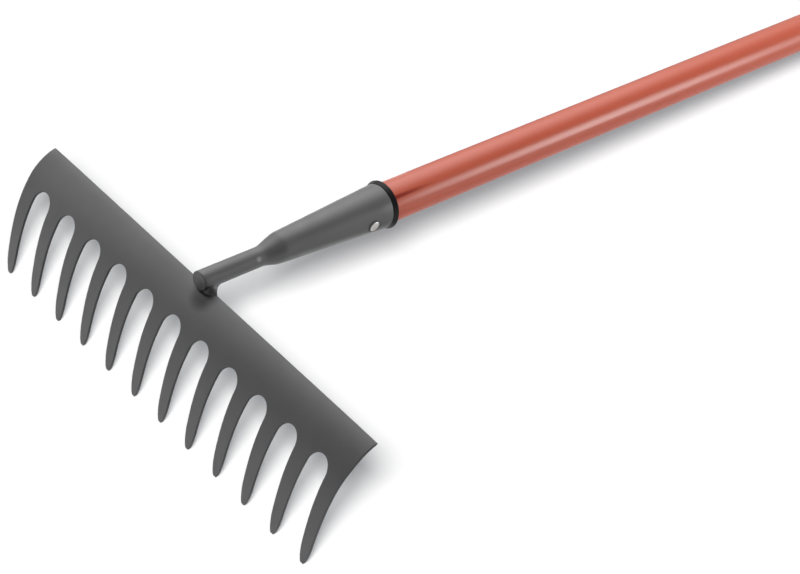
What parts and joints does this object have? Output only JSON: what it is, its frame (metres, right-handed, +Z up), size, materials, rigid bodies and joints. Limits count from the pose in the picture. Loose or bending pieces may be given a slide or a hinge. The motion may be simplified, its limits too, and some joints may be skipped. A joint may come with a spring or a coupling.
{
  "type": "soil rake",
  "caption": "Long-handled soil rake: a curved pressed-steel tine head welded to a swaged socket that holds a straight coated tube handle.",
  "frame": {"origin": "middle of the object's box, on the ground that it lies on, tines down", "axes": "+X from the head towards the grip end, +Y along the head, +Z up from the ground"},
  "size_m": [1.5028, 0.3332, 0.1055],
  "materials": {
    "painted_steel": "grey powder coat, satin",
    "painted_weld": "grey powder coat over a weld bead",
    "coated_tube": "red plastic coat, glossy",
    "black_plastic": "moulded, satin",
    "zinc_plated_steel": "bright zinc plate"
  },
  "bodies": {
    "root": {"rake_head": "painted_steel", "socket": "painted_steel", "weld_bead_right": "painted_weld", "weld_bead_left": "painted_weld", "handle_tube": "coated_tube", "collar": "black_plastic", "rivet": "zinc_plated_steel", "end_cap": "black_plastic"}
  },
  "joints": []
}
